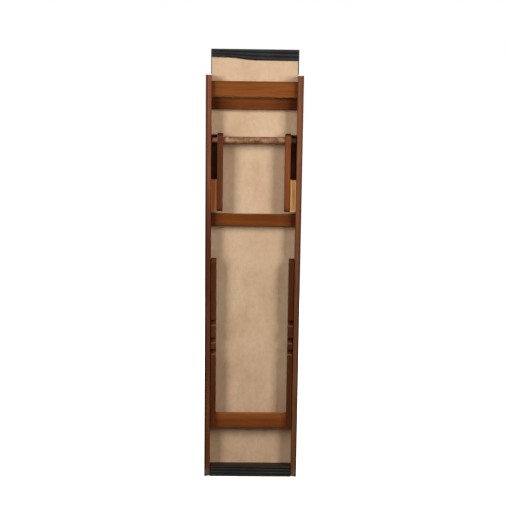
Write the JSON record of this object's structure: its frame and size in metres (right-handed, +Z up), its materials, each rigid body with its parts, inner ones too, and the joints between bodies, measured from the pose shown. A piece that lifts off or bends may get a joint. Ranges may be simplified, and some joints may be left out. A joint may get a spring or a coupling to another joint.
{
  "type": "folding pet ramp",
  "caption": "Folding ramp for a pet, stood on end: stained wood rails and crossbars, a pale deck board, a ribbed rubber mat, swing-out legs with notches and a dowel prop.",
  "frame": {"origin": "middle of the footprint of the upright, folded ramp, on the floor", "axes": "+Z up along the ramp's length, +X across the ramp, +Y towards the walking side, so -Y is the underside with the folding legs"},
  "size_m": [0.394, 0.07, 1.801],
  "materials": {
    "rail_wood": "satin varnish over red-brown stain",
    "crossbar_wood": "satin varnish over brown stain",
    "leg_wood": "satin varnish over dark brown stain",
    "dowel_wood": "thin brown stain, open grain",
    "raw_wood": "unfinished",
    "board": "matt, faint flecks",
    "mat_rubber": "matt, ribbed",
    "pad_rubber": "matt",
    "washer": "matt nylon",
    "brass_insert": "turned",
    "steel": "zinc plated"
  },
  "bodies": {
    "frame": {"side_rail_left": "rail_wood", "side_rail_right": "rail_wood", "deck_board": "board", "top_crossbar": "crossbar_wood", "top_batten": "crossbar_wood", "middle_crossbar": "crossbar_wood", "bottom_crossbar": "crossbar_wood", "traction_mat": "mat_rubber", "rail_corner_guard_left": "pad_rubber", "rail_corner_guard_right": "pad_rubber", "pivot_block_left": "raw_wood", "pivot_block_right": "raw_wood", "bumper_strip_left": "pad_rubber", "bumper_strip_right": "pad_rubber", "crossbar_screws": "steel", "board_screws": "steel", "block_screws": "steel", "mat_staples": "steel"},
    "leg": {"leg_rail_left": "leg_wood", "leg_rail_right": "leg_wood", "leg_crossbar": "crossbar_wood", "leg_screws": "steel", "leg_pivot_bolt_left": "steel", "leg_pivot_bolt_right": "steel", "leg_pivot_insert_left": "brass_insert", "leg_pivot_insert_right": "brass_insert", "leg_pivot_washer_left": "washer", "leg_pivot_washer_right": "washer"},
    "prop": {"prop_rail_left": "leg_wood", "prop_rail_right": "leg_wood", "prop_dowel": "dowel_wood", "prop_pivot_bolt_left": "steel", "prop_pivot_bolt_right": "steel", "prop_pivot_insert_left": "brass_insert", "prop_pivot_insert_right": "brass_insert", "prop_pivot_washer_left": "washer", "prop_pivot_washer_right": "washer"}
  },
  "joints": [
    {"name": "leg_fold", "type": "hinge", "parent": "frame", "child": "leg", "pos_m": [0, -0.012, 0.9305], "axis": [-1, 0, 0], "range_deg": [0, 107.7]},
    {"name": "prop_fold", "type": "hinge", "parent": "frame", "child": "prop", "pos_m": [0, -0.014, 1.1635], "axis": [1, 0, 0], "range_deg": [0, 121]}
  ]
}
